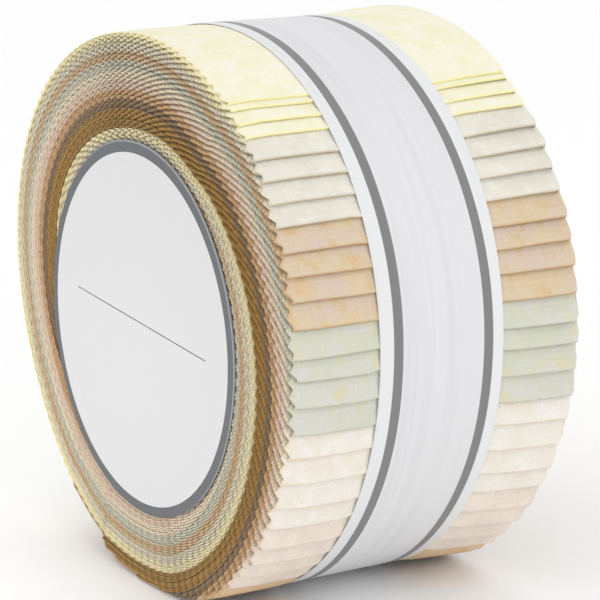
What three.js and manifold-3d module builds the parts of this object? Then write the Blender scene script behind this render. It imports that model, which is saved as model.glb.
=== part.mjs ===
// A roll of forty quilting strips, each folded once, wound flat side to flat side,
// held by a paper band round its middle and closed by a round card on its near end.
// Millimetres, +Z up. The roll lies on its curved side, its axis along Y, the card facing -Y.

import * as THREE from 'three';
import { mergeVertices } from 'three/addons/utils/BufferGeometryUtils.js';
import Module from 'manifold-3d';

const wasm = await Module();
wasm.setup();

// Cloth
const STRIP_WIDTH = 63.5;
const STRIPS = 40;
const STRIPS_PER_COLOUR = 4;
const LAYER = 0.245; // one layer of cloth as it lies in the roll
const FOLDED_STRIP = 2 * LAYER;

// Roll outline, seen from the card's side: angles are clockwise from the top, in degrees
const MEAN_RADIUS = 58.2;
const OUT_OF_ROUND = [
  { waves: 2, cos: -0.4, sin: -1.07 },
  { waves: 3, cos: -0.94, sin: 0.28 },
  { waves: 4, cos: 0, sin: 0.19 },
];
const AXIS_HEIGHT = 57.6; // less than the radius, so the underside is a small flat
const FIRST_END_OF_COLOUR = [37, 49.8, 67, 86, 104.8, 126, 145.3, 162, 176, 190];
const OUTER_COLOUR_STEP = 2.4; // the outermost colour's four folds lie closer together
const LAST_END = 203;
const STEP_HEIGHT = 1.1; // how far each folded end stands above the next one
const STEP_RUN = 0.35; // degrees over which a folded end drops
const LIFT_RUN = 5; // degrees over which the outermost end lifts

// Roll profile along its axis
const NEAR_ROUNDING = 1.0;
const NEAR_ROUNDING_LENGTH = 15;
const FAR_FLARE = 2.1;
const NEAR_STATIONS = [0, 2, 6, 11]; // distances in from the near end
const FAR_STATIONS = [11, 5, 0]; // distances in from the far end
const SIDE_STEP = 5.5; // degrees between section points on the smooth side

// Paper band
const BAND_FROM = -13.5;
const BAND_TO = 15.6;
const BAND_THICKNESS = 1.0;
const BAND_PROUD = 0.3;
const CLEARANCE = 0.3;

// Card on the near end
const CARD_RADIUS = 38.65;
const CARD_THICKNESS = 1.0;
const CARD_X = -1.8;
const CARD_BELOW_AXIS = 3.85;

// Where one turn ends and the next begins, the outer colour stands proud of a furrow
const FURROW_DEPTH = 1.3;
const FURROW_WIDTH = 6;
const FURROW_WALL = 0.25;
const RIDGE_HEIGHT = 0.8;
const RIDGE_WIDTH = 2.1;
const NEAR_TURN_END = -62; // the card covers the turns inside this angle
const FAR_TURN_END = -560;
const TURN_TAPER = 20; // degrees over which ridge and furrow run out
const CUTTER_ROOT = 0.6;
const CURVE_SIDES = 96;

const rad = THREE.MathUtils.degToRad;

// Angle at which the folded end of strip number k lies, outermost strip first
function endAngle(k) {
  const colour = Math.floor(k / STRIPS_PER_COLOUR);
  const inColour = k % STRIPS_PER_COLOUR;
  if (colour === 0) return FIRST_END_OF_COLOUR[0] + OUTER_COLOUR_STEP * inColour;
  const first = FIRST_END_OF_COLOUR[colour];
  const next = FIRST_END_OF_COLOUR[colour + 1] ?? LAST_END;
  return first + ((next - first) * inColour) / STRIPS_PER_COLOUR;
}

const ENDS = Array.from({ length: STRIPS }, (_, k) => endAngle(k));

function outline(angle) {
  const wave = (w) => w.cos * Math.cos(w.waves * rad(angle)) + w.sin * Math.sin(w.waves * rad(angle));
  return OUT_OF_ROUND.reduce((sum, w) => sum + wave(w), MEAN_RADIUS);
}

// Strips still present at an angle counted along the winding, the outermost turn from 203 to 563
function stripsAt(angle) {
  const a = angle - 360;
  if (a <= ENDS[0]) return STRIPS;
  if (a >= LAST_END) return 0;
  const k = ENDS.findIndex((end) => end > a);
  if (k < 0) return (LAST_END - a) / (LAST_END - ENDS[STRIPS - 1]);
  const passed = (a - ENDS[k - 1]) / (ENDS[k] - ENDS[k - 1]);
  return STRIPS - (k - 1) - passed;
}

// Radius of the outer face of the winding
function windingRadius(angle) {
  let radius = outline(angle);
  for (let outer = angle + 360; outer < LAST_END + 360; outer += 360) {
    radius -= FOLDED_STRIP * stripsAt(outer);
  }
  return radius;
}

// Section points: angle, and how far the folded ends lift the surface there, from 0 to 1
function sectionStations() {
  const stations = [];
  for (let a = LAST_END + 4; a < ENDS[0] + 360 - LIFT_RUN; a += SIDE_STEP) {
    stations.push({ angle: a, lift: 0 });
  }
  stations.push({ angle: ENDS[0] + 360 - LIFT_RUN, lift: 0 });
  ENDS.forEach((end, k) => {
    const from = k === 0 ? end - LIFT_RUN : ENDS[k - 1] + STEP_RUN;
    const share = k === 0 ? 1 : Math.min(1, (end - from) / 3);
    stations.push({ angle: from + (end - from) * 0.55 + 360, lift: 0.28 * share });
    stations.push({ angle: end + 360, lift: share });
    stations.push({ angle: end + STEP_RUN + 360, lift: 0 });
  });
  return stations;
}

function pointAt(angle, radius, y, floor = 0) {
  const z = AXIS_HEIGHT + radius * Math.cos(rad(angle));
  return [radius * Math.sin(rad(angle)), y, Math.max(z, floor)];
}

// A closed loft through rings of equal length, capped from its middle or open into a tube
function loftGeometry(rings, closeEnds) {
  const count = rings[0].length;
  const positions = rings.flat();
  const index = [];
  const last = rings.length - 1;
  const pairs = closeEnds ? last : rings.length;
  for (let i = 0; i < pairs; i += 1) {
    const a = i * count;
    const b = ((i + 1) % rings.length) * count;
    for (let j = 0; j < count; j += 1) {
      const n = (j + 1) % count;
      index.push(a + j, a + n, b + j, a + n, b + n, b + j);
    }
  }
  if (closeEnds) {
    [0, last].forEach((ring) => {
      const middle = new THREE.Vector3();
      rings[ring].forEach((p) => middle.add(new THREE.Vector3(...p)));
      middle.divideScalar(count);
      const centre = positions.length;
      positions.push(middle.toArray());
      for (let j = 0; j < count; j += 1) {
        const a = ring * count + j;
        const b = ring * count + ((j + 1) % count);
        if (ring === 0) index.push(a, centre, b);
        else index.push(a, b, centre);
      }
    });
  }
  const geometry = new THREE.BufferGeometry();
  geometry.setAttribute('position', new THREE.Float32BufferAttribute(positions.flat(), 3));
  geometry.setIndex(index);
  return geometry;
}

function signedVolume(geometry) {
  const p = geometry.attributes.position;
  const v = [new THREE.Vector3(), new THREE.Vector3(), new THREE.Vector3()];
  let volume = 0;
  for (let i = 0; i < geometry.index.count; i += 3) {
    v.forEach((corner, c) => corner.fromBufferAttribute(p, geometry.index.getX(i + c)));
    volume += v[0].dot(v[1].clone().cross(v[2])) / 6;
  }
  return volume;
}

function turnedOutward(geometry) {
  if (signedVolume(geometry) > 0) return geometry;
  const index = Array.from(geometry.index.array);
  for (let i = 0; i < index.length; i += 3) [index[i], index[i + 1]] = [index[i + 1], index[i]];
  geometry.setIndex(index);
  return geometry;
}

function toSolid(geometry) {
  const merged = mergeVertices(turnedOutward(geometry), 1e-5);
  return new wasm.Manifold(new wasm.Mesh({
    numProp: 3,
    vertProperties: merged.attributes.position.array,
    triVerts: new Uint32Array(merged.index.array),
  }));
}

function toGeometry(solid) {
  const mesh = solid.getMesh();
  const geometry = new THREE.BufferGeometry();
  geometry.setAttribute('position', new THREE.BufferAttribute(mesh.vertProperties, 3));
  geometry.setIndex(new THREE.BufferAttribute(mesh.triVerts, 1));
  return geometry;
}

// How far the cloth's surface lies outside the outline at a place along the axis
function profileOffset(y) {
  const nearRun = (y + STRIP_WIDTH / 2) / NEAR_ROUNDING_LENGTH;
  if (nearRun < 1) return -NEAR_ROUNDING * (1 - nearRun) ** 2;
  const farRun = Math.max(0, (y - BAND_TO) / (STRIP_WIDTH / 2 - BAND_TO));
  return FAR_FLARE * farRun * (1.6 - 0.6 * farRun);
}

function rollBody() {
  const half = STRIP_WIDTH / 2;
  const waist = BAND_PROUD - BAND_THICKNESS - CLEARANCE;
  const nearPlaces = [...NEAR_STATIONS.map((inward) => inward - half), BAND_FROM - CLEARANCE];
  const farPlaces = [BAND_TO + CLEARANCE, ...FAR_STATIONS.map((inward) => half - inward)];
  const section = sectionStations();
  const clothRing = (y) => section.map((s) => (
    pointAt(s.angle, outline(s.angle) + profileOffset(y) + STEP_HEIGHT * (s.lift - 0.4), y)));
  const waistRing = (y) => section.map((s) => (
    pointAt(s.angle, outline(s.angle) + waist, y, BAND_THICKNESS + CLEARANCE)));
  return loftGeometry([
    ...nearPlaces.map(clothRing),
    waistRing(BAND_FROM - CLEARANCE),
    waistRing(BAND_TO + CLEARANCE),
    ...farPlaces.map(clothRing),
  ], true);
}

// A bar that follows the winding's outer face, its section given as [outward, above the end face]
function alongWinding(section, side, fromAngle, toAngle, step) {
  const rings = [];
  const count = Math.ceil((fromAngle - toAngle) / step);
  for (let i = 0; i <= count; i += 1) {
    const angle = fromAngle + ((toAngle - fromAngle) * i) / count;
    const turnOutside = FOLDED_STRIP * stripsAt(angle + 360);
    const runOut = (angle - toAngle) / TURN_TAPER;
    const size = Math.min(1, turnOutside / FURROW_WIDTH, 0.1 + runOut);
    rings.push(section.map(([outward, above]) => {
      const radius = windingRadius(angle) + outward * size;
      return pointAt(angle, radius, side * (STRIP_WIDTH / 2 + above * size), -AXIS_HEIGHT);
    }));
  }
  return loftGeometry(rings, true);
}

function rollGeometry() {
  const furrow = [
    [0, RIDGE_HEIGHT + CUTTER_ROOT],
    [FURROW_WALL, -FURROW_DEPTH],
    [FURROW_WIDTH * 1.15, FURROW_DEPTH * 0.15],
    [FURROW_WIDTH * 1.15, RIDGE_HEIGHT + CUTTER_ROOT],
  ];
  const ridge = [
    [0, -CUTTER_ROOT],
    [-0.3, RIDGE_HEIGHT],
    [0.3 - RIDGE_WIDTH, RIDGE_HEIGHT],
    [-RIDGE_WIDTH - 0.6, -CUTTER_ROOT],
  ];
  const start = LAST_END - 4;
  const body = toSolid(rollBody());
  const nearRidge = toSolid(alongWinding(ridge, -1, start - 8, NEAR_TURN_END, 6));
  const nearFurrow = toSolid(alongWinding(furrow, -1, start, NEAR_TURN_END, 6));
  const farFurrow = toSolid(alongWinding(furrow, 1, start, FAR_TURN_END, 9));
  return toGeometry(body.add(nearRidge).subtract(nearFurrow).subtract(farFurrow));
}

function bandGeometry() {
  const angles = Array.from({ length: CURVE_SIDES }, (_, i) => (i * 360) / CURVE_SIDES);
  const ring = (offset, y, floor) => angles.map((a) => pointAt(a, outline(a) + offset, y, floor));
  const outside = BAND_PROUD;
  const inside = BAND_PROUD - BAND_THICKNESS;
  return turnedOutward(loftGeometry([
    ring(outside, BAND_FROM, 0),
    ring(outside, BAND_TO, 0),
    ring(inside, BAND_TO, BAND_THICKNESS),
    ring(inside, BAND_FROM, BAND_THICKNESS),
  ], false));
}

function cardGeometry() {
  const geometry = new THREE.CylinderGeometry(CARD_RADIUS, CARD_RADIUS, CARD_THICKNESS, CURVE_SIDES);
  const front = -STRIP_WIDTH / 2 - CLEARANCE - CARD_THICKNESS / 2;
  geometry.translate(CARD_X, front, AXIS_HEIGHT - CARD_BELOW_AXIS);
  return geometry;
}

const cloth = new THREE.MeshStandardMaterial({ color: 0xefe2cc, roughness: 0.95, metalness: 0 });
const paper = new THREE.MeshStandardMaterial({ color: 0xe6e7e8, roughness: 0.55, metalness: 0 });
const card = new THREE.MeshStandardMaterial({ color: 0xdfe0e1, roughness: 0.6, metalness: 0 });

// The origin is below the middle of the whole, the card included
const group = new THREE.Group();
group.position.y = (CLEARANCE + CARD_THICKNESS) / 2;

function addMesh(name, geometry, material) {
  const mesh = new THREE.Mesh(geometry, material);
  mesh.name = name;
  group.add(mesh);
  return mesh;
}

addMesh('roll', rollGeometry(), cloth);
addMesh('band', bandGeometry(), paper);
addMesh('end_card', cardGeometry(), card);

export default group;
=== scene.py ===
import math

import bpy
import numpy as np
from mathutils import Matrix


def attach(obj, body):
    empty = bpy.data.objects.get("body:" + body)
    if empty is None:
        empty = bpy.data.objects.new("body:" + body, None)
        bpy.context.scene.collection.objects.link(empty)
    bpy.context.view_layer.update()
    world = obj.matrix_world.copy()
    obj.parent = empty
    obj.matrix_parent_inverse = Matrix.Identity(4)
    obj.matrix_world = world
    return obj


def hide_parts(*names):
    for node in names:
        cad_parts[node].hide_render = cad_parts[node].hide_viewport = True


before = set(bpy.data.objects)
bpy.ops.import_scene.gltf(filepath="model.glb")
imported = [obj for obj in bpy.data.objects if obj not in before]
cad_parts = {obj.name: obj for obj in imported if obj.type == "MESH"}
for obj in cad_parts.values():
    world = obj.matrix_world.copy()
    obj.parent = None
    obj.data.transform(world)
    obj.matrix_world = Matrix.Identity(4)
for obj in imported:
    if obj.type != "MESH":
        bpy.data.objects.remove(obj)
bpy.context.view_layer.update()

# The roll
# Forty strips of quilting cotton, 2.5 in wide and 42 in long, each folded at its middle and
# stacked. The stack is wound up flat, so the folds end in steps round the outside, and the
# pinked edges of all the layers make the two ends of the roll.
STRIP_WIDTH = 0.0635
STRIP_LENGTH = 1.0668
STRIPS = 40
STRIPS_PER_COLOUR = 4
CLOTH = 0.00019
LAYER_PITCH = 0.000245
CORE_RADIUS = 0.004

# Outline seen from the card's side, angles clockwise from the top in degrees. It steps in
# where the last strips of the stack have ended, and is back on its curve at the last angle.
AXIS_Y = 0.00065
AXIS_HEIGHT = 0.0576
MEAN_RADIUS = 0.0582
OUT_OF_ROUND = ((2, -0.0004, -0.00107), (3, -0.00094, 0.00028), (4, 0.0, 0.00019))
DENT = 0.0017
DENT_ANGLES = (198.7, 200.2, 236)


def outline(angle):
    """Radius of the roll's outer face at an angle."""
    turn = np.radians(angle)
    radius = np.full_like(turn, MEAN_RADIUS)
    for waves, even, odd in OUT_OF_ROUND:
        radius += even * np.cos(waves * turn) + odd * np.sin(waves * turn)
    radius -= DENT * np.interp(np.mod(angle, 360), DENT_ANGLES, (0, 1, 0), left=0, right=0)
    return radius


# Where each strip's fold ends round the outside, from the top strip of the stack inwards
ENDS = (
    35.0, 36.8, 40.5, 43.8, 49.1, 53.7, 58.2, 62.7, 67.8, 72.3,
    76.9, 82.0, 87.3, 91.4, 96.8, 102.1, 107.0, 112.8, 118.7, 123.8,
    130.0, 135.5, 141.0, 146.4, 151.0, 153.8, 156.5, 159.2, 161.8, 164.3,
    166.8, 169.4, 174.5, 184.0, 194.0, 198.5, 198.9, 199.3, 199.7, 217.0,
)
LAST_END = 217.5
WHOLE_TURNS = 6
ANGLE_STEP = 0.5
LONGEST_WINDING = 1300


def strips_at(angle):
    """Strips in the stack at an angle counted along the winding, fewer past each folded end."""
    ends = np.array(ENDS + (LAST_END,)) + 360
    return np.interp(angle, ends, np.arange(STRIPS, -1, -1))


def winding_radius(angle):
    """Radius of the outer face of the stack, under the whole turns that lie on it."""
    radius = outline(angle)
    for turns in range(1, WHOLE_TURNS):
        later = angle + 360 * turns
        radius = radius - 2 * LAYER_PITCH * strips_at(later) * (later < LAST_END + 360)
    return radius


def layer_path(layer):
    """Angles and radii of one layer of cloth, from its strip's folded end inwards, with lengths."""
    end = ENDS[layer // 2] + 360
    angle = np.arange(end, end - LONGEST_WINDING, -ANGLE_STEP)
    ended = STRIPS - strips_at(angle)
    depth = LAYER_PITCH * (layer + 0.5 - 2 * ended)
    radius = winding_radius(angle) - depth
    inside = np.argmax(radius < CORE_RADIUS)
    angle, radius = angle[:inside], radius[:inside]
    x, z = radius * np.sin(np.radians(angle)), radius * np.cos(np.radians(angle))
    length = np.concatenate([[0], np.cumsum(np.hypot(np.diff(x), np.diff(z)))])
    return angle, radius, length


# Pinked edge: one tooth each 2.85 mm, and how far in from its tip the cloth is whole. The teeth
# of all the layers are in step at one angle, and drift apart layer by layer away from it.
TOOTH_PITCH = 0.00285
TOOTH_DEPTH = 0.0009
HEM = 0.0021
IN_STEP_ANGLE = 162
LEAD_POINTS = 300


def lead(strip):
    """Length from a strip's fold to the angle where the teeth are in step, at the strip's radius."""
    angle = np.linspace(ENDS[strip], IN_STEP_ANGLE, LEAD_POINTS)
    ended = STRIPS - strips_at(angle + 360)
    radius = outline(angle) + 2 * LAYER_PITCH * (ended - strip)
    return radius.mean() * math.radians(IN_STEP_ANGLE - ENDS[strip])


# The fold: its inside radius, how high it stands off the roll and how soon it lies down again
FOLD_RADIUS = 0.00025
FOLD_CLOSES = 0.003
FOLD_LIFT = 0.0004
FLAT_FOLD_LIFT = 0.00015
FOLD_LIFT_RUN = 0.0022
APEX_OUT = 0.3
POINTS_IN_LOOPS = (0.5, 1.0, 2.0)


def layer_points(strip, side):
    """Points of the outer (side 1) or inner (side -1) layer of a strip, from the fold inwards."""
    layer = 2 * strip + (0 if side > 0 else 1)
    angles, radii, lengths = layer_path(layer)
    reach = min(lengths[-1], STRIP_LENGTH / 2)
    loop = FOLD_RADIUS * math.pi / 2
    step = TOOTH_PITCH / 2
    clear = (POINTS_IN_LOOPS[-1] + 1) * loop
    first = math.ceil((lead(strip) + clear) / step) * step - lead(strip)
    teeth = np.arange(first, reach, step)
    along = np.concatenate([np.array(POINTS_IN_LOOPS) * loop, teeth])
    back = np.maximum(along - loop, 0)
    angle = np.interp(back, lengths, angles)
    middle = np.interp(back, lengths, radii) - side * LAYER_PITCH / 2
    closed = np.clip(back / FOLD_CLOSES, 0, 1)
    spread = FOLD_RADIUS + (LAYER_PITCH / 2 - FOLD_RADIUS) * closed
    bent = np.clip(along / loop, 0, 1) * math.pi / 2
    radius = middle + side * spread * np.sin(bent)
    angle = angle + np.degrees(FOLD_RADIUS * np.cos(bent) / radius)
    rise = FLAT_FOLD_LIFT if strip < STRIPS_PER_COLOUR else FOLD_LIFT
    lift = rise * np.exp(-(back / FOLD_LIFT_RUN) ** 2)
    ended = STRIPS - strips_at(angle)
    depth = np.maximum(LAYER_PITCH * (layer + 0.5 - 2 * ended), 0)
    whole_turns_outside = outline(angle) - winding_radius(angle)
    return angle, radius, along, lift, depth + whole_turns_outside


# How far the edges stand past the strip's width, and how they wander. The corners of the folds
# are a little rounded. Nothing stands proud behind the card.
CARD_RADIUS = 0.03865
CARD_X = -0.0018
CARD_BELOW_AXIS = 0.00385
CARD_CLEARANCE = 0.002
NEAR_PROUD = 0.0004
UNDER_PROUD = 0.0004
UNDER_ANGLES = (145, 175, 205, 240)
FAR_PROUD = 0.001
CROWN = 0.0002
CORNER = 0.0008
CORNER_RUN = 0.0012
EDGE_SCATTER = 0.00012
WANDER_RUN = 0.021
WANDER_BY_STRIP = 2.4
WANDER_BY_SIDE = 1.9
SCATTER_BY_STRIP = 5.1

# How the near edge curls in and the far edge flares out, angle by angle. Both fade with depth,
# and the near curl reaches deeper on the side away from the lap.
SHARED_DEPTH = 0.009
LEAN_DEPTH = (0.017, 0.024)
LEAN_ANGLES = (15, 45, 110, 145)
CURL_ANGLES = (0, 30, 60, 90, 120, 150, 175, 205, 230, 270, 320)
CURL_SHARES = (0.3, 0.7, 0.95, 1.0, 0.85, 0.4, 0.0, 0.0, 0.2, 0.3, 0.3)
FLARE_ANGLES = (0, 30, 60, 105, 125, 160, 270)
FLARE_SHARES = (1.1, 1.2, 1.15, 0.95, 0.8, 0.7, 0.8)
OPEN_LAYERS = 3.2
SWAY = 0.0009
SWAY_RUN = 0.012

# How worn the teeth are: less cut under other layers, and blunt near the last folds
TOOTH_ANGLES = (0, 30, 60, 120, 160, 200, 240, 300)
TOOTH_SHARES = (0.75, 0.95, 1.0, 1.0, 0.6, 0.3, 0.3, 0.35)
COVERED_DEPTH = (0.0008, 0.002)
COVERED_TEETH = 0.7
BLUNT_STRIPS = 7
BLUNT_LENGTH = 0.045

# Painted shade on the cloth: between the teeth of covered layers, and painted shade and interreflection
# along the sharp crease of the fold
CREASE_SHADE_WIDTH = 0.00034
SHADE_ANGLES = (0, 60, 130, 170, 210, 270, 320)
SHADE_SHARES = (1.0, 0.9, 0.7, 0.8, 0.35, 0.45, 0.85)
OUTER_SHADE_DEPTH = 0.00065
INNER_SHADE_DEPTH = 0.0003
SHADE_FADE = 0.0002
CLOTH_BETWEEN_STRIPS = 1.3


def strip_path(strip):
    """A strip's path as a mesh of points, with what the cloth does at each of them."""
    outer = layer_points(strip, 1)
    inner = layer_points(strip, -1)
    apex_angle = outer[0][:1] + np.degrees(FOLD_RADIUS * APEX_OUT / outer[1][:1])
    apex = (apex_angle, (outer[1][:1] + inner[1][:1]) / 2, np.zeros(1), outer[3][:1], outer[4][:1])
    angle, radius, along, lift, depth = (
        np.concatenate([o[::-1], a, i]) for o, a, i in zip(outer, apex, inner))
    side = np.concatenate([np.ones(len(outer[0])), [0], -np.ones(len(inner[0]))])
    turn = np.radians(angle)
    around = np.mod(angle, 360)
    away = np.stack([np.sin(turn), np.zeros_like(turn), np.cos(turn)], 1)
    place = away * radius[:, None] + [0, AXIS_Y, AXIS_HEIGHT]
    phase = (along + lead(strip)) / TOOTH_PITCH
    tooth = 1 - np.abs(2 * (phase - np.floor(phase)) - 1)
    share = np.clip(1 - depth / SHARED_DEPTH, 0, 1)
    exposed = np.where(depth < OPEN_LAYERS * LAYER_PITCH, 2, np.where(share > 0, 1, 0))

    wander = EDGE_SCATTER * np.sin(along / WANDER_RUN + WANDER_BY_STRIP * strip + WANDER_BY_SIDE * side)
    wander = wander + EDGE_SCATTER * math.sin(SCATTER_BY_STRIP * strip) * side
    corner = CORNER * np.exp(-(along / CORNER_RUN) ** 2)
    card = np.hypot(place[:, 0] - CARD_X, place[:, 2] - AXIS_HEIGHT + CARD_BELOW_AXIS)
    beside_card = np.clip((card - CARD_RADIUS) / CARD_CLEARANCE, 0, 1)
    under_roll = UNDER_PROUD * np.interp(around, UNDER_ANGLES, (0, 1, 1, 0), left=0, right=0)
    crown = CROWN * math.sin(math.pi * (strip + 0.5) / STRIPS)
    near = (NEAR_PROUD + under_roll + crown) * beside_card - wander - corner / 2
    far = FAR_PROUD + wander - corner

    lean = np.interp(around, LEAN_ANGLES, (0, 1, 1, 0), left=0, right=0)
    deep_share = np.interp(depth, LEAN_DEPTH, (1, 0))
    near_share = share + lean * np.maximum(deep_share - share, 0)
    curl = np.interp(around, CURL_ANGLES, CURL_SHARES, period=360) * near_share
    flare = np.interp(around, FLARE_ANGLES, FLARE_SHARES, period=360) * share
    sway = np.where(exposed > 1, SWAY * np.exp(-along / SWAY_RUN), 0)

    covered = np.interp(depth, COVERED_DEPTH, (1, COVERED_TEETH))
    worn = covered * np.interp(around, TOOTH_ANGLES, TOOTH_SHARES, period=360)
    if strip >= STRIPS - BLUNT_STRIPS:
        worn = worn * (1 - np.exp(-(along / BLUNT_LENGTH) ** 4))
    # Painted shade in the valleys between the teeth of covered layers, stronger or weaker by angle round
    # the roll
    under = np.where(side > 0, OUTER_SHADE_DEPTH, INNER_SHADE_DEPTH)
    shade = (1 - tooth) * np.clip((depth - under) / SHADE_FADE, 0, 1)
    shade = shade * np.interp(around, SHADE_ANGLES, SHADE_SHARES, period=360)

    mesh = bpy.data.meshes.new(f"path_{strip + 1:02d}")
    mesh.from_pydata(place.tolist(), [(i, i + 1) for i in range(len(angle) - 1)], [])
    values = {
        "across": away[:, 0], "up": away[:, 2],
        "lift": lift, "depth": depth, "share": share, "exposed": exposed,
        "tooth": 1 - (1 - tooth) * worn, "near": near, "far": far,
        "curl": curl, "flare": flare, "sway": sway,
        "along": along * np.where(side < 0, -1, 1) + CLOTH_BETWEEN_STRIPS * strip,
        # Painted shade and interreflection along the crease at the fold, and painted shade in the grooves
        # between the teeth
        "crease_shade": np.exp(-(along / CREASE_SHADE_WIDTH) ** 2), "shade": shade,
    }
    for name, value in values.items():
        mesh.attributes.new(name, "FLOAT", "POINT").data.foreach_set("value", value.astype(np.float32))
    return mesh


def add(tree, kind, inputs=None, **settings):
    """Adds a node with its settings, then links or sets its inputs."""
    node = tree.nodes.new(kind)
    for name, value in settings.items():
        setattr(node, name, value)
    for key, value in (inputs or {}).items():
        if isinstance(value, bpy.types.NodeSocket):
            tree.links.new(value, node.inputs[key])
        else:
            node.inputs[key].default_value = value
    return node


# The band's two edges, and the flat on which the roll has settled under its own weight
BAND_FROM = -0.0135
BAND_TO = 0.0149
BAND_PROUD = 0.0003
FLAT_SHARE = 0.945
FLAT_EASE = 0.009
FLAT_DROP = 0.0015

SIZES = {
    "Strip Width": STRIP_WIDTH, "Axis Y": AXIS_Y, "Tooth Depth": TOOTH_DEPTH, "Hem": HEM,
    "Band From": BAND_FROM, "Band To": BAND_TO, "Free Run": 0.0025,
    "Near Slope": 0.0033, "Near Rounding": 0.0009, "Near Rounding Length": 0.013,
    "Rim Curl": 0.00045, "Rim Curl Length": 0.004,
    "Far Foot": 0.003, "Far Slope": 0.010, "Far Flare": 0.0013, "Far Fold Lift": 0.9,
    "Far Hem": 0.0006, "Far Teeth": 0.0017, "Far Bend": 0.9, "Far Bend Outside": 0.25,
    "Flat Share": FLAT_SHARE, "Flat Ease": FLAT_EASE, "Flat Height": BAND_PROUD - FLAT_DROP,
    "Wave Height": 0.00022, "Wave Scale": 90.0, "Wave Stretch": 0.35, "Bow Scale": 45.0, "Seed": 0.0,
}

# The rows of points across the cloth, from the near teeth to the far teeth
ROWS = ("near tip", "near hem", "near slope", "near foot", "beside band",
        "past band", "far foot", "far slope", "far hem", "far tip")

# Where the edges are: each row is a result, an operation and its terms
EDGE_STEPS = (
    ("half", "MULTIPLY", "Strip Width", 0.5),
    ("between teeth", "SUBTRACT", 1.0, "tooth"),
    ("notch", "MULTIPLY", "Tooth Depth", "between teeth"),
    ("near reach", "ADD", "half", "near"),
    ("near edge", "MULTIPLY", "near reach", -1.0),
    ("near tip", "ADD", "near edge", "notch"),
    ("near hem", "ADD", "near edge", "Hem"),
    ("far edge", "ADD", "half", "far"),
    ("far hem", "SUBTRACT", "far edge", "Far Hem"),
    ("far teeth", "SUBTRACT", "Far Teeth", "notch"),
    ("far bend", "MULTIPLY_ADD", "share", "Far Bend Outside", "Far Bend"),
    ("far bend cosine", "COSINE", "far bend"),
    ("far tip", "MULTIPLY_ADD", "far teeth", "far bend cosine", "far hem"),
    ("is open", "GREATER_THAN", "exposed", 1.5),
    ("is deep", "LESS_THAN", "exposed", 0.5),
    ("open near slope", "ADD", "near hem", "Near Slope"),
    ("open near foot", "SUBTRACT", "Band From", "Free Run"),
    ("open far foot", "ADD", "Band To", "Far Foot"),
    ("open far slope", "ADD", "Band To", "Far Slope"),
    ("wave along", "MULTIPLY", "along", "Wave Stretch"),
)

# Rows that close up where the cloth lies deep, or isn't open to view: which, when, to, from
CLOSED_ROWS = (
    ("beside band", "is deep", "near hem", "Band From"),
    ("past band", "is deep", "far hem", "Band To"),
    ("near slope", "is open", "open near slope", "beside band"),
    ("near foot", "is open", "open near foot", "beside band"),
    ("far foot", "is open", "open far foot", "past band"),
    ("far slope", "is open", "open far slope", "past band"),
)

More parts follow.
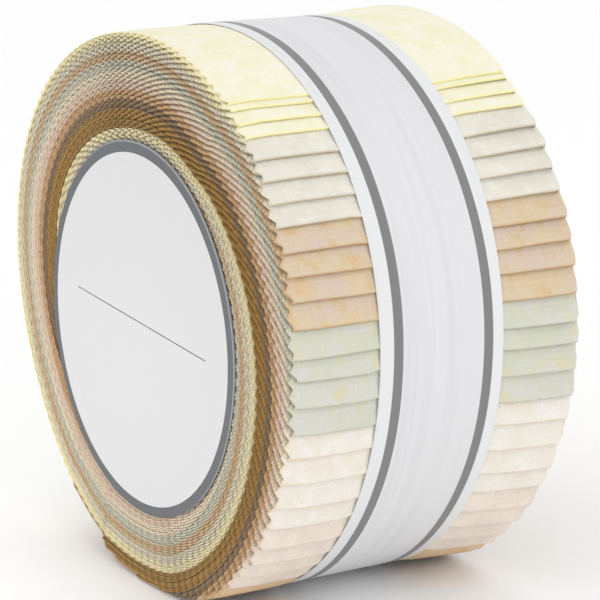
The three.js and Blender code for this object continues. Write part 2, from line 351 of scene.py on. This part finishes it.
# How far the cloth stands off the path, sways aside and settles on the flat
LAY_STEPS = (
    ("from near", "ADD", "y", "half"),
    ("rounding used", "DIVIDE", "from near", "Near Rounding Length"),
    ("rounding left", "SUBTRACT", 1.0, "rounding used"),
    ("rounding fade", "MULTIPLY", "rounding left", "rounding left"),
    ("rounding", "MULTIPLY", "rounding fade", "Near Rounding"),
    ("rim used", "DIVIDE", "from near", "Rim Curl Length"),
    ("rim left", "SUBTRACT", 1.0, "rim used"),
    ("rim fade", "MULTIPLY", "rim left", "rim left"),
    ("rim curl", "MULTIPLY", "rim fade", "Rim Curl"),
    ("near shape", "ADD", "rounding", "rim curl"),
    ("drawn in", "MULTIPLY", "near shape", "curl"),
    ("beyond band", "SUBTRACT", "y", "Band To"),
    ("far length", "SUBTRACT", "half", "Band To"),
    ("far run", "DIVIDE", "beyond band", "far length"),
    ("flare easing", "MULTIPLY_ADD", "far run", -0.6, 1.6),
    ("flare run", "MULTIPLY", "far run", "flare easing"),
    ("flare size", "MULTIPLY", "flare", "Far Flare"),
    ("flared out", "MULTIPLY", "flare run", "flare size"),
    ("profile", "SUBTRACT", "flared out", "drawn in"),
    ("before band", "SUBTRACT", "Band From", "y"),
    ("off band", "MAXIMUM", "before band", "beyond band"),
    ("free", "DIVIDE", "off band", "Free Run"),
    ("wave swing", "SUBTRACT", "wave", 0.5),
    ("wave size", "MULTIPLY", "wave swing", "Wave Height"),
    ("open share", "MULTIPLY", "share", "is open"),
    ("waved", "MULTIPLY", "wave size", "open share"),
    ("lift growth", "MULTIPLY_ADD", "far run", "Far Fold Lift", 1.0),
    ("lifted", "MULTIPLY", "lift", "lift growth"),
    ("stands up", "ADD", "lifted", "waved"),
    ("raised", "MULTIPLY", "free", "stands up"),
    ("is far tip", "GREATER_THAN", "row", len(ROWS) - 1.5),
    ("far bend sine", "SINE", "far bend"),
    ("teeth in", "MULTIPLY", "far teeth", "far bend sine"),
    ("turned in", "MULTIPLY", "is far tip", "teeth in"),
    ("off path", "ADD", "profile", "raised"),
    ("outward", "SUBTRACT", "off path", "turned in"),
    ("free sway", "MULTIPLY", "sway", "free"),
    ("bow swing", "SUBTRACT", "bow", 0.5),
    ("aside", "MULTIPLY", "free sway", "bow swing"),
    ("aside x", "MULTIPLY", "up", "aside"),
    ("move x", "MULTIPLY_ADD", "across", "outward", "aside x"),
    ("x", "ADD", "place x", "move x"),
    ("outward z", "MULTIPLY", "up", "outward"),
    ("aside z", "MULTIPLY", "across", "aside"),
    ("move z", "SUBTRACT", "outward z", "aside z"),
    ("loose z", "ADD", "place z", "move z"),
    ("flat", "MULTIPLY_ADD", "depth", "Flat Share", "Flat Height"),
    ("settled z", "SMOOTH_MAX", "loose z", "flat", "Flat Ease"),
    ("lowest z", "MULTIPLY", "depth", "Flat Share"),
    ("z", "MAXIMUM", "settled z", "lowest z"),
    ("laid y", "ADD", "y", "Axis Y"),
    ("rows from middle", "SUBTRACT", "row", (len(ROWS) - 1) / 2),
    ("rows away", "ABSOLUTE", "rows from middle"),
    ("rim", "GREATER_THAN", "rows away", len(ROWS) / 2 - 1),
)
HELD_TO_ONE = ("rounding left", "rim left", "far run", "free")


def cloth_tree():
    """Cloth laid across a path: rows from one pinked edge to the other at each path point."""
    tree = bpy.data.node_groups.new("pinked strip", "GeometryNodeTree")
    tree.interface.new_socket("Path", in_out="INPUT", socket_type="NodeSocketGeometry")
    for name, size in SIZES.items():
        socket = tree.interface.new_socket(name, in_out="INPUT", socket_type="NodeSocketFloat")
        socket.default_value = size
    tree.interface.new_socket("Material", in_out="INPUT", socket_type="NodeSocketMaterial")
    tree.interface.new_socket("Cloth", in_out="OUTPUT", socket_type="NodeSocketGeometry")
    given = add(tree, "NodeGroupInput").outputs
    value = {name: given[name] for name in SIZES}

    count = add(tree, "GeometryNodeAttributeDomainSize", {0: given["Path"]}).outputs[0]
    grid = add(tree, "GeometryNodeMeshGrid", {"Vertices X": count, "Vertices Y": len(ROWS)})
    index = add(tree, "GeometryNodeInputIndex").outputs[0]
    column = add(tree, "FunctionNodeIntegerMath", {0: index, 1: len(ROWS)},
                 operation="DIVIDE_FLOOR").outputs[0]
    value["row"] = add(tree, "FunctionNodeIntegerMath", {0: index, 1: len(ROWS)},
                       operation="MODULO").outputs[0]

    position = add(tree, "GeometryNodeInputPosition").outputs[0]
    place = add(tree, "GeometryNodeSampleIndex",
                {"Geometry": given["Path"], "Value": position, "Index": column},
                data_type="FLOAT_VECTOR", clamp=True).outputs[0]
    value["place x"], _, value["place z"] = add(tree, "ShaderNodeSeparateXYZ", {0: place}).outputs
    for name in ("across", "up", "lift", "depth", "share", "exposed", "tooth", "near", "far",
                 "curl", "flare", "sway", "along", "crease_shade", "shade"):
        on_path = add(tree, "GeometryNodeInputNamedAttribute", {"Name": name}, data_type="FLOAT").outputs[0]
        value[name] = add(tree, "GeometryNodeSampleIndex",
                          {"Geometry": given["Path"], "Value": on_path, "Index": column},
                          data_type="FLOAT", clamp=True).outputs[0]

    for name, operation, *terms in EDGE_STEPS:
        sockets = {number: value.get(term, term) for number, term in enumerate(terms)}
        value[name] = add(tree, "ShaderNodeMath", sockets, operation=operation).outputs[0]
    for name, when, to, otherwise in CLOSED_ROWS:
        sockets = {"Factor": value[when], "A": value[otherwise], "B": value[to]}
        value[name] = add(tree, "ShaderNodeMix", sockets, data_type="FLOAT").outputs[0]

    switch = add(tree, "GeometryNodeIndexSwitch", data_type="FLOAT")
    while len(switch.index_switch_items) < len(ROWS):
        switch.index_switch_items.new()
    tree.links.new(value["row"], switch.inputs["Index"])
    for number, name in enumerate(ROWS):
        tree.links.new(value[name], switch.inputs[number + 1])
    value["y"] = switch.outputs[0]

    for name, first, scale in (("wave", "wave along", "Wave Scale"), ("bow", "Seed", "Bow Scale")):
        spot = add(tree, "ShaderNodeCombineXYZ", {0: value[first], 1: value["y"], 2: given["Seed"]})
        value[name] = add(tree, "ShaderNodeTexNoise",
                          {"Vector": spot.outputs[0], "Scale": given[scale], "Detail": 1.0}).outputs[0]
    for name, operation, *terms in LAY_STEPS:
        sockets = {number: value.get(term, term) for number, term in enumerate(terms)}
        value[name] = add(tree, "ShaderNodeMath", sockets, operation=operation,
                          use_clamp=name in HELD_TO_ONE).outputs[0]

    spot = add(tree, "ShaderNodeCombineXYZ", {0: value["x"], 1: value["laid y"], 2: value["z"]}).outputs[0]
    laid = add(tree, "GeometryNodeSetPosition",
               {"Geometry": grid.outputs["Mesh"], "Position": spot}).outputs[0]
    weave = add(tree, "ShaderNodeCombineXYZ", {0: value["along"], 1: value["y"]}).outputs[0]
    # rim, crease and shade carry painted marks: the edge colour, partly painted shade; the crease, painted
    # shade and interreflection; the grooves between teeth, painted shade
    for name, kept, kind in (("weave", weave, "FLOAT_VECTOR"), ("rim", value["rim"], "FLOAT"),
                             ("crease_shade", value["crease_shade"], "FLOAT"), ("shade", value["shade"], "FLOAT")):
        laid = add(tree, "GeometryNodeStoreNamedAttribute", {"Geometry": laid, "Name": name, "Value": kept},
                   data_type=kind, domain="POINT").outputs[0]
    laid = add(tree, "GeometryNodeMergeByDistance", {"Geometry": laid, "Distance": 1e-6}).outputs[0]
    laid = add(tree, "GeometryNodeRealizeInstances", {"Geometry": laid}).outputs[0]
    laid = add(tree, "GeometryNodeSetMaterial",
               {"Geometry": laid, "Material": given["Material"]}).outputs[0]
    add(tree, "NodeGroupOutput", {0: laid})
    return tree


def linear(hex_colour):
    """sRGB hex to linear RGBA."""
    parts = [int(hex_colour[i:i + 2], 16) / 255 for i in (0, 2, 4)]
    return [c / 12.92 if c <= 0.04045 else ((c + 0.055) / 1.055) ** 2.4 for c in parts] + [1.0]


# Sizes of the cotton's patterns. Clouds are 9 mm across, blooms 4 mm and flecks 0.7 mm. Threads
# are really 0.4 mm apart, and are drawn 0.6 mm apart, the finest that shows. A wave texture has
# 20 radians to a unit, and one thread is half a wave.
CLOUDS_PER_METRE = 110.0
BLOOMS_PER_METRE = 260.0
FLECKS_PER_METRE = 1500.0
THREAD = 0.0006
THREAD_SCALE = 1 / THREAD / 20 * math.pi
# Speckle in the edge colour, which is partly the cut edge's own colour and partly painted shade and
# interreflection between the layers
EDGE_SHADE_SPECKLE = 0.7
# Painted shade in the gaps between the threads
GAP_SHADE_SHOWS = 0.11
# Painted shade in the grooves between the teeth
GROOVE_SHADE_SHOWS = 0.85
GROOVE_SHADE_COLOUR = "54442F"


def quilting_cotton(name, ground, cloud, bloom, edge, fold_shade):
    """Plain woven quilting cotton, piece dyed in soft clouds. Matt, with a little fuzz in its sheen. The
    pinked edge is darker and deeper in colour, partly its own colour and partly painted shade and
    interreflection between the layers;
    painted shade darkens the grooves between the teeth and the gaps between the threads, and painted shade
    and interreflection mark the crease at the fold."""
    material = bpy.data.materials.new(f"quilting cotton, {name}")
    material.use_nodes = True
    tree = material.node_tree
    shader = tree.nodes["Principled BSDF"]
    shader.inputs["Roughness"].default_value = 0.9
    shader.inputs["IOR"].default_value = 1.45
    shader.inputs["Specular IOR Level"].default_value = 0.2
    shader.inputs["Sheen Weight"].default_value = 0.1
    shader.inputs["Sheen Roughness"].default_value = 0.6

    weave = add(tree, "ShaderNodeAttribute", attribute_name="weave").outputs["Vector"]
    clouds = add(tree, "ShaderNodeTexNoise", {
        "Vector": weave, "Scale": CLOUDS_PER_METRE, "Detail": 5.0, "Roughness": 0.62, "Distortion": 0.6})
    blooms = add(tree, "ShaderNodeTexNoise",
                 {"Vector": weave, "Scale": BLOOMS_PER_METRE, "Detail": 3.0, "Roughness": 0.7})
    flecks = add(tree, "ShaderNodeTexNoise",
                 {"Vector": weave, "Scale": FLECKS_PER_METRE, "Detail": 2.0, "Roughness": 0.7})
    rim = add(tree, "ShaderNodeAttribute", attribute_name="rim").outputs["Fac"]
    # Edge colour on the tip rows, partly the cut edge's own colour and partly painted shade and
    # interreflection between the layers
    edge_shade_mask = add(tree, "ShaderNodeMath", {0: flecks.outputs[0], 1: EDGE_SHADE_SPECKLE, 2: rim}, operation="MULTIPLY_ADD")
    # Painted shade in the grooves between the teeth, in the groove shade colour
    shade = add(tree, "ShaderNodeAttribute", attribute_name="shade")
    # Painted shade and interreflection along the crease at the fold, in the fold shade colour
    crease_shade = add(tree, "ShaderNodeAttribute", attribute_name="crease_shade")
    colour = linear(ground)
    for mask, low, high, wash in (
            (clouds.outputs[0], 0.42, 0.58, cloud),
            (blooms.outputs[0], 0.5, 0.68, bloom),
            (edge_shade_mask.outputs[0], 0.95, 1.35, edge),
            (shade.outputs["Fac"], 0.0, 1 / GROOVE_SHADE_SHOWS, GROOVE_SHADE_COLOUR),
            (crease_shade.outputs["Fac"], 0.1, 0.9, fold_shade)):
        shown = add(tree, "ShaderNodeMapRange",
                    {"Value": mask, "From Min": low, "From Max": high}).outputs[0]
        colour = add(tree, "ShaderNodeMix", {0: shown, 6: colour, 7: linear(wash)},
                     data_type="RGBA").outputs[2]

    warp = add(tree, "ShaderNodeTexWave", {"Vector": weave, "Scale": THREAD_SCALE}, bands_direction="X")
    weft = add(tree, "ShaderNodeTexWave", {"Vector": weave, "Scale": THREAD_SCALE}, bands_direction="Y")
    cross = add(tree, "ShaderNodeMath", {0: warp.outputs["Fac"], 1: weft.outputs["Fac"]},
                operation="MULTIPLY")
    uneven = add(tree, "ShaderNodeMath", {0: cross.outputs[0], 1: flecks.outputs[0]}, operation="MULTIPLY")
    # Painted shade in the gaps between the threads, in the fold shade colour
    gap_shade = add(tree, "ShaderNodeMapRange",
               {"Value": uneven.outputs[0], "From Max": 0.5, "To Min": GAP_SHADE_SHOWS, "To Max": 0.0}).outputs[0]
    woven = add(tree, "ShaderNodeMix", {0: gap_shade, 6: colour, 7: linear(fold_shade)}, data_type="RGBA").outputs[2]
    tree.links.new(woven, shader.inputs["Base Color"])
    height = add(tree, "ShaderNodeMath", {0: cross.outputs[0], 1: flecks.outputs[0]}, operation="ADD")
    bump = add(tree, "ShaderNodeBump", {"Strength": 0.5, "Distance": 0.00012, "Height": height.outputs[0]})
    tree.links.new(bump.outputs[0], shader.inputs["Normal"])
    return material


# Four strips of each colour, from the top of the stack inwards: ground, cloud, bloom, edge, fold shade. The
# edge colour is partly the cut edge's own colour and partly painted shade and interreflection between the
# layers. The fold shade is painted shade and interreflection along the crease and in the gaps between the
# threads.
COLOURS = (
    ("butter", "F1EDDA", "EDEACC", "F2EFE7", "EBDFB4", "F3ECAE"),
    ("oatmeal", "E4E1D7", "E0DCD1", "EBE9DE", "DCD3BA", "C9BDA2"),
    ("peach", "DAC8AA", "D6C6B8", "D8BC90", "D2B58F", "B8925F"),
    ("sage", "D0D2C1", "D5D4CC", "D8D3AF", "D0CDBA", "AEB09C"),
    ("cream", "EBE7E0", "E9E2D5", "F1ECEA", "EADAC0", "D9C29C"),
    ("shell", "ECE2D6", "E6D8CE", "EFE5D3", "E3CCB5", "CBAE98"),
    ("apricot", "E3C8A4", "DFBE94", "E7D1B2", "CDA67A", "B88C5C"),
    ("bark", "A08A70", "8E7860", "AC9678", "91795B", "6E5842"),
    ("honey", "B08C48", "A5803F", "BC9A58", "AF8644", "7C5C2C"),
    ("caramel", "A8823F", "9A743C", "B48E4C", "A48040", "705024"),
)
SEED_STEP = 0.37
SHARP_CLOTH = 50

tree = cloth_tree()
identifiers = {item.name: item.identifier for item in tree.interface.items_tree if item.in_out == "INPUT"}
cottons = [quilting_cotton(*colour) for colour in COLOURS]
for number in range(STRIPS):
    path = bpy.data.objects.new(f"path_{number + 1:02d}", strip_path(number))
    bpy.context.collection.objects.link(path)
    laying = path.modifiers.new("laying", "NODES")
    laying.node_group = tree
    laying[identifiers["Seed"]] = number * SEED_STEP
    laying[identifiers["Material"]] = cottons[number // STRIPS_PER_COLOUR]
    thick = path.modifiers.new("cloth", "SOLIDIFY")
    thick.thickness = CLOTH
    thick.offset = 0
    seen = path.evaluated_get(bpy.context.evaluated_depsgraph_get())
    mesh = bpy.data.meshes.new_from_object(seen)
    mesh.name = f"strip_{number + 1:02d}"
    mesh.shade_smooth()
    mesh.set_sharp_from_angle(angle=math.radians(SHARP_CLOTH))
    strip = bpy.data.objects.new(mesh.name, mesh)
    bpy.context.collection.objects.link(strip)
    bpy.data.objects.remove(path)
    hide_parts("roll")
    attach(strip, "root")

# The band
# A belt of coated white paper round the middle of the roll, printed with two grey lines, its
# ends lapped and glued at the back. It keeps the roll wound.
BAND_PAPER = 0.00018
PAPER_GAP = 0.00002
BAND_STEPS = 144
BAND_LAP = 9
LAP_RISE = 3
BAND_LAP_ANGLE = 262
SHARP_PAPER = 40


def band_mesh():
    """One closed belt with its lap: rings of four points, from one end of the paper to the other.
    It settles on the same flat as the cloth under it."""
    verts, faces = [], []
    steps = BAND_STEPS + BAND_LAP
    for step in range(steps + 1):
        angle = BAND_LAP_ANGLE + 360 * step / BAND_STEPS
        turn = math.radians(angle)
        outside = float(outline(np.array([angle]))[0]) + BAND_PROUD
        over = min(1.0, max(0.0, (step - BAND_STEPS + LAP_RISE) / LAP_RISE)) * (BAND_PAPER + PAPER_GAP)
        face = outside - BAND_PAPER - PAPER_GAP + over
        for radius, y in ((face, BAND_FROM), (face + BAND_PAPER, BAND_FROM),
                          (face + BAND_PAPER, BAND_TO), (face, BAND_TO)):
            z = AXIS_HEIGHT + radius * math.cos(turn)
            flat = max(0.0, outside - radius) - FLAT_DROP
            ease = max(0.0, 1 - abs(z - flat) / FLAT_EASE)
            z = max(z, flat) + ease ** 3 * FLAT_EASE / 6
            verts.append((radius * math.sin(turn), y + AXIS_Y, z))
    for step in range(steps):
        a, b = 4 * step, 4 * (step + 1)
        for i in range(4):
            j = (i + 1) % 4
            faces.append((a + i, b + i, b + j, a + j))
    faces.append((0, 1, 2, 3))
    faces.append(tuple(4 * steps + i for i in (3, 2, 1, 0)))
    mesh = bpy.data.meshes.new("paper_band")
    mesh.from_pydata(verts, [], faces)
    mesh.validate()
    return mesh


# The print: margin, line, middle, line, margin. The paper isn't quite straight on the roll, so
# the lines wander by 0.6 mm. Faint darker streaks along the belt are painted shade of shallow creases in
# the paper.
LINE_WIDTH = 0.0021
LINE_COLOUR = "7E7E7E"
FIRST_MARGIN = "E0E1E2"
LINES = ((-0.0096, "DCDCDE"), (0.0110, "E1E2E3"))
LINE_WANDER = 0.0006
WANDERS_PER_METRE = 22.0
STREAKS_PER_METRE = (14, 420, 14)
STREAK_SHADE_COLOUR = "DADBDD"
FIBRES_PER_METRE = 1400.0
BUCKLES_PER_METRE = 45.0


def band_paper():
    """Machine coated white paper with two printed grey lines. Smooth, with a soft sheen and faint
    darker streaks along its length, painted shade of shallow creases in the paper."""
    material = bpy.data.materials.new("coated paper, printed lines")
    material.use_nodes = True
    tree = material.node_tree
    shader = tree.nodes["Principled BSDF"]
    shader.inputs["Roughness"].default_value = 0.42
    shader.inputs["Specular IOR Level"].default_value = 0.4
    place = add(tree, "ShaderNodeTexCoord").outputs["Object"]
    y = add(tree, "ShaderNodeSeparateXYZ", {0: place}).outputs[1]
    slack = add(tree, "ShaderNodeTexNoise",
                {"Vector": place, "Scale": WANDERS_PER_METRE, "Detail": 0.0}).outputs[0]
    y = add(tree, "ShaderNodeMath", {0: slack, 1: 2 * LINE_WANDER, 2: y},
            operation="MULTIPLY_ADD").outputs[0]
    y = add(tree, "ShaderNodeMath", {0: y, 1: LINE_WANDER}, operation="SUBTRACT").outputs[0]
    ramp = add(tree, "ShaderNodeMapRange",
               {"Value": y, "From Min": BAND_FROM + AXIS_Y, "From Max": BAND_TO + AXIS_Y}).outputs[0]
    lines = add(tree, "ShaderNodeValToRGB", {0: ramp})
    lines.color_ramp.interpolation = "CONSTANT"
    width = BAND_TO - BAND_FROM
    stops = [(0.0, FIRST_MARGIN)]
    for middle, after in LINES:
        stops.append(((middle - LINE_WIDTH / 2 - BAND_FROM) / width, LINE_COLOUR))
        stops.append(((middle + LINE_WIDTH / 2 - BAND_FROM) / width, after))
    elements = lines.color_ramp.elements
    for number, (position, colour) in enumerate(stops):
        stop = elements[number] if number < 2 else elements.new(position)
        stop.position = position
        stop.color = linear(colour)
    drawn_out = add(tree, "ShaderNodeMapping", {"Vector": place, "Scale": STREAKS_PER_METRE}).outputs[0]
    streaks = add(tree, "ShaderNodeTexNoise", {"Vector": drawn_out, "Scale": 1.0, "Detail": 2.0}).outputs[0]
    # Painted shade of shallow creases: darker streaks along the belt
    streak_shade = add(tree, "ShaderNodeMapRange",
                 {"Value": streaks, "From Min": 0.5, "From Max": 0.78, "To Max": 0.3}).outputs[0]
    paper = add(tree, "ShaderNodeMix", {0: streak_shade, 6: lines.outputs[0], 7: linear(STREAK_SHADE_COLOUR)},
                data_type="RGBA", blend_type="MULTIPLY")
    tree.links.new(paper.outputs[2], shader.inputs["Base Color"])
    fibre = add(tree, "ShaderNodeTexNoise", {"Vector": place, "Scale": FIBRES_PER_METRE, "Detail": 3.0})
    buckle = add(tree, "ShaderNodeTexNoise", {"Vector": place, "Scale": BUCKLES_PER_METRE, "Detail": 1.0})
    height = add(tree, "ShaderNodeMath", {0: buckle.outputs[0], 1: 25.0, 2: fibre.outputs[0]},
                 operation="MULTIPLY_ADD")
    bump = add(tree, "ShaderNodeBump", {"Strength": 0.3, "Distance": 0.00001, "Height": height.outputs[0]})
    tree.links.new(bump.outputs[0], shader.inputs["Normal"])
    return material


band = bpy.data.objects.new("paper_band", band_mesh())
bpy.context.collection.objects.link(band)
band.data.materials.append(band_paper())
band.data.shade_smooth()
band.data.set_sharp_from_angle(angle=math.radians(SHARP_PAPER))
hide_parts("band")
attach(band, "root")

# The end card
# A round of white card with a grey printed rim and one thin printed line, stuck flat on the
# near end of the roll.
CARD_THICKNESS = 0.00035
CARD_GAP = 0.0003
CARD_EDGE_EASE = 0.00008
CARD_SIDES = 128


def card_mesh():
    """A thin round with its two edges eased."""
    verts, faces = [], []
    back = AXIS_Y - STRIP_WIDTH / 2 - CARD_GAP
    front = back - CARD_THICKNESS
    rings = ((CARD_RADIUS - CARD_EDGE_EASE, back), (CARD_RADIUS, back - CARD_EDGE_EASE),
             (CARD_RADIUS, front + CARD_EDGE_EASE), (CARD_RADIUS - CARD_EDGE_EASE, front))
    middle_height = AXIS_HEIGHT - CARD_BELOW_AXIS
    for radius, y in rings:
        for side in range(CARD_SIDES):
            turn = 2 * math.pi * side / CARD_SIDES
            verts.append((CARD_X + radius * math.sin(turn), y, middle_height + radius * math.cos(turn)))
    for ring in range(len(rings) - 1):
        for side in range(CARD_SIDES):
            a = ring * CARD_SIDES + side
            b = ring * CARD_SIDES + (side + 1) % CARD_SIDES
            faces.append((a, b, b + CARD_SIDES, a + CARD_SIDES))
    faces.append(tuple(range(CARD_SIDES))[::-1])
    faces.append(tuple(range(3 * CARD_SIDES, 4 * CARD_SIDES)))
    mesh = bpy.data.meshes.new("round_card")
    mesh.from_pydata(verts, [], faces)
    return mesh


# The print: a rim inside a narrow margin, a little off centre, and a line across the middle
CARD_RIM = 0.0022
CARD_MARGIN = 0.00018
PRINT_SHIFT = (0.00022, 0, 0.0002)
CARD_MIDDLE_COLOUR = "CECECF"
RIM_COLOUR = "5A5D60"
MARGIN_COLOUR = "909397"
RULE_FROM = (-0.0267, 0.0039)
RULE_TO = (0.0276, -0.0006)
RULE_WIDTH = 0.00024
RULE_COLOUR = "5A5A5A"
TOOTH_PER_METRE = 1600.0


def card_stock():
    """Uncoated white card, printed with a slate grey rim and one thin line. Matt, with a faint tooth."""
    material = bpy.data.materials.new("white card, grey rim")
    material.use_nodes = True
    tree = material.node_tree
    shader = tree.nodes["Principled BSDF"]
    shader.inputs["Roughness"].default_value = 0.55
    place = add(tree, "ShaderNodeTexCoord").outputs["Object"]
    centred = add(tree, "ShaderNodeVectorMath",
                  {0: place, 1: (-CARD_X, 0, CARD_BELOW_AXIS - AXIS_HEIGHT)}, operation="ADD").outputs[0]
    across, _, up = add(tree, "ShaderNodeSeparateXYZ", {0: centred}).outputs
    shifted = add(tree, "ShaderNodeVectorMath", {0: centred, 1: PRINT_SHIFT}, operation="ADD").outputs[0]
    flat = add(tree, "ShaderNodeVectorMath", {0: shifted, 1: (1, 0, 1)}, operation="MULTIPLY").outputs[0]
    radius = add(tree, "ShaderNodeVectorMath", {0: flat}, operation="LENGTH").outputs["Value"]
    ramp = add(tree, "ShaderNodeMapRange", {"Value": radius, "From Max": CARD_RADIUS}).outputs[0]
    rings = add(tree, "ShaderNodeValToRGB", {0: ramp})
    rings.color_ramp.interpolation = "CONSTANT"
    elements = rings.color_ramp.elements
    elements[0].color = linear(CARD_MIDDLE_COLOUR)
    elements[1].position = 1 - (CARD_RIM + CARD_MARGIN) / CARD_RADIUS
    elements[1].color = linear(RIM_COLOUR)
    elements.new(1 - CARD_MARGIN / CARD_RADIUS).color = linear(MARGIN_COLOUR)

    slope = (RULE_TO[1] - RULE_FROM[1]) / (RULE_TO[0] - RULE_FROM[0])
    level_at_start = RULE_FROM[1] - slope * RULE_FROM[0]
    middle, half = (RULE_FROM[0] + RULE_TO[0]) / 2, (RULE_TO[0] - RULE_FROM[0]) / 2
    level = add(tree, "ShaderNodeMath", {0: across, 1: -slope, 2: up}, operation="MULTIPLY_ADD").outputs[0]
    on_level = add(tree, "ShaderNodeMath", {0: level, 1: level_at_start, 2: RULE_WIDTH / 2},
                   operation="COMPARE")
    in_length = add(tree, "ShaderNodeMath", {0: across, 1: middle, 2: half}, operation="COMPARE")
    rule = add(tree, "ShaderNodeMath", {0: on_level.outputs[0], 1: in_length.outputs[0]},
               operation="MULTIPLY")
    printed = add(tree, "ShaderNodeMix", {0: rule.outputs[0], 6: rings.outputs[0], 7: linear(RULE_COLOUR)},
                  data_type="RGBA")
    tree.links.new(printed.outputs[2], shader.inputs["Base Color"])
    fibre = add(tree, "ShaderNodeTexNoise", {"Vector": place, "Scale": TOOTH_PER_METRE, "Detail": 4.0})
    bump = add(tree, "ShaderNodeBump", {"Strength": 0.3, "Distance": 0.00002, "Height": fibre.outputs[0]})
    tree.links.new(bump.outputs[0], shader.inputs["Normal"])
    return material


card = bpy.data.objects.new("round_card", card_mesh())
bpy.context.collection.objects.link(card)
card.data.materials.append(card_stock())
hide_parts("end_card")
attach(card, "root")

# The table
# A wide, matt, nearly white sheet under the roll.
TABLE_HALF = 4

table_mesh = bpy.data.meshes.new("table")
corners = [(-TABLE_HALF, -TABLE_HALF, 0), (TABLE_HALF, -TABLE_HALF, 0),
           (TABLE_HALF, TABLE_HALF, 0), (-TABLE_HALF, TABLE_HALF, 0)]
table_mesh.from_pydata(corners, [], [(0, 1, 2, 3)])
table = bpy.data.objects.new("table", table_mesh)
bpy.context.collection.objects.link(table)
pale = bpy.data.materials.new("pale table")
pale.use_nodes = True
pale.node_tree.nodes["Principled BSDF"].inputs["Base Color"].default_value = linear("FDFDFD")
pale.node_tree.nodes["Principled BSDF"].inputs["Roughness"].default_value = 0.9
table_mesh.materials.append(pale)

# The studio
# An even white surround, a large soft box high on the right, and a small weak one low in front
# that opens up the shaded foot of the near end.
world = bpy.data.worlds.new("surround")
bpy.context.scene.world = world
world.use_nodes = True
world.node_tree.nodes["Background"].inputs["Color"].default_value = (1, 1, 1, 1)
world.node_tree.nodes["Background"].inputs["Strength"].default_value = 1.0
LIT_POINT = [0, 0, 0.05]


def soft_box(name, place, size, power):
    """A square lamp that faces the middle of the roll."""
    light = bpy.data.lights.new(name, "AREA")
    light.size = size
    light.energy = power
    lamp = bpy.data.objects.new(name, light)
    lamp.location = place
    lamp.visible_camera = False
    aim = -np.array(place) + LIT_POINT
    tilt = math.acos(-aim[2] / np.linalg.norm(aim))
    lamp.rotation_euler = (tilt, 0, math.atan2(aim[1], aim[0]) - math.pi / 2)
    bpy.context.collection.objects.link(lamp)


soft_box("key", (0.9, -0.3, 0.45), 0.6, 1.2)
soft_box("low front", (-0.015, -0.13, 0.012), 0.1, 0.05)

# The camera
# It stands half a metre off, to the right of the card and a little above the roll. It is aimed
# slightly beside the middle, in degrees, and its lens is given in widths of the picture.
STAND_AZIMUTH = 58.66
STAND_ELEVATION = 12.91
DISTANCE = 0.5108
AIM_AZIMUTH = 58.15
AIM_ELEVATION = 13.05
FOCAL_IN_WIDTHS = 2442.5 / 600
SENSOR = 36


def back_vector(azimuth, elevation):
    """Direction from the roll to a camera at this azimuth and elevation."""
    a, e = math.radians(azimuth), math.radians(elevation)
    return np.array([math.sin(a) * math.cos(e), -math.cos(a) * math.cos(e), math.sin(e)])


lens = bpy.data.cameras.new("camera")
lens.sensor_width = SENSOR
lens.lens = SENSOR * FOCAL_IN_WIDTHS
lens.clip_start = 0.01
camera = bpy.data.objects.new("camera", lens)
bpy.context.collection.objects.link(camera)
axis_middle = np.array([0, AXIS_Y, AXIS_HEIGHT])
camera.location = axis_middle + DISTANCE * back_vector(STAND_AZIMUTH, STAND_ELEVATION)
camera.rotation_euler = (math.radians(90 - AIM_ELEVATION), 0, math.radians(AIM_AZIMUTH))
bpy.context.scene.camera = camera
bpy.context.scene.view_settings.view_transform = "Standard"
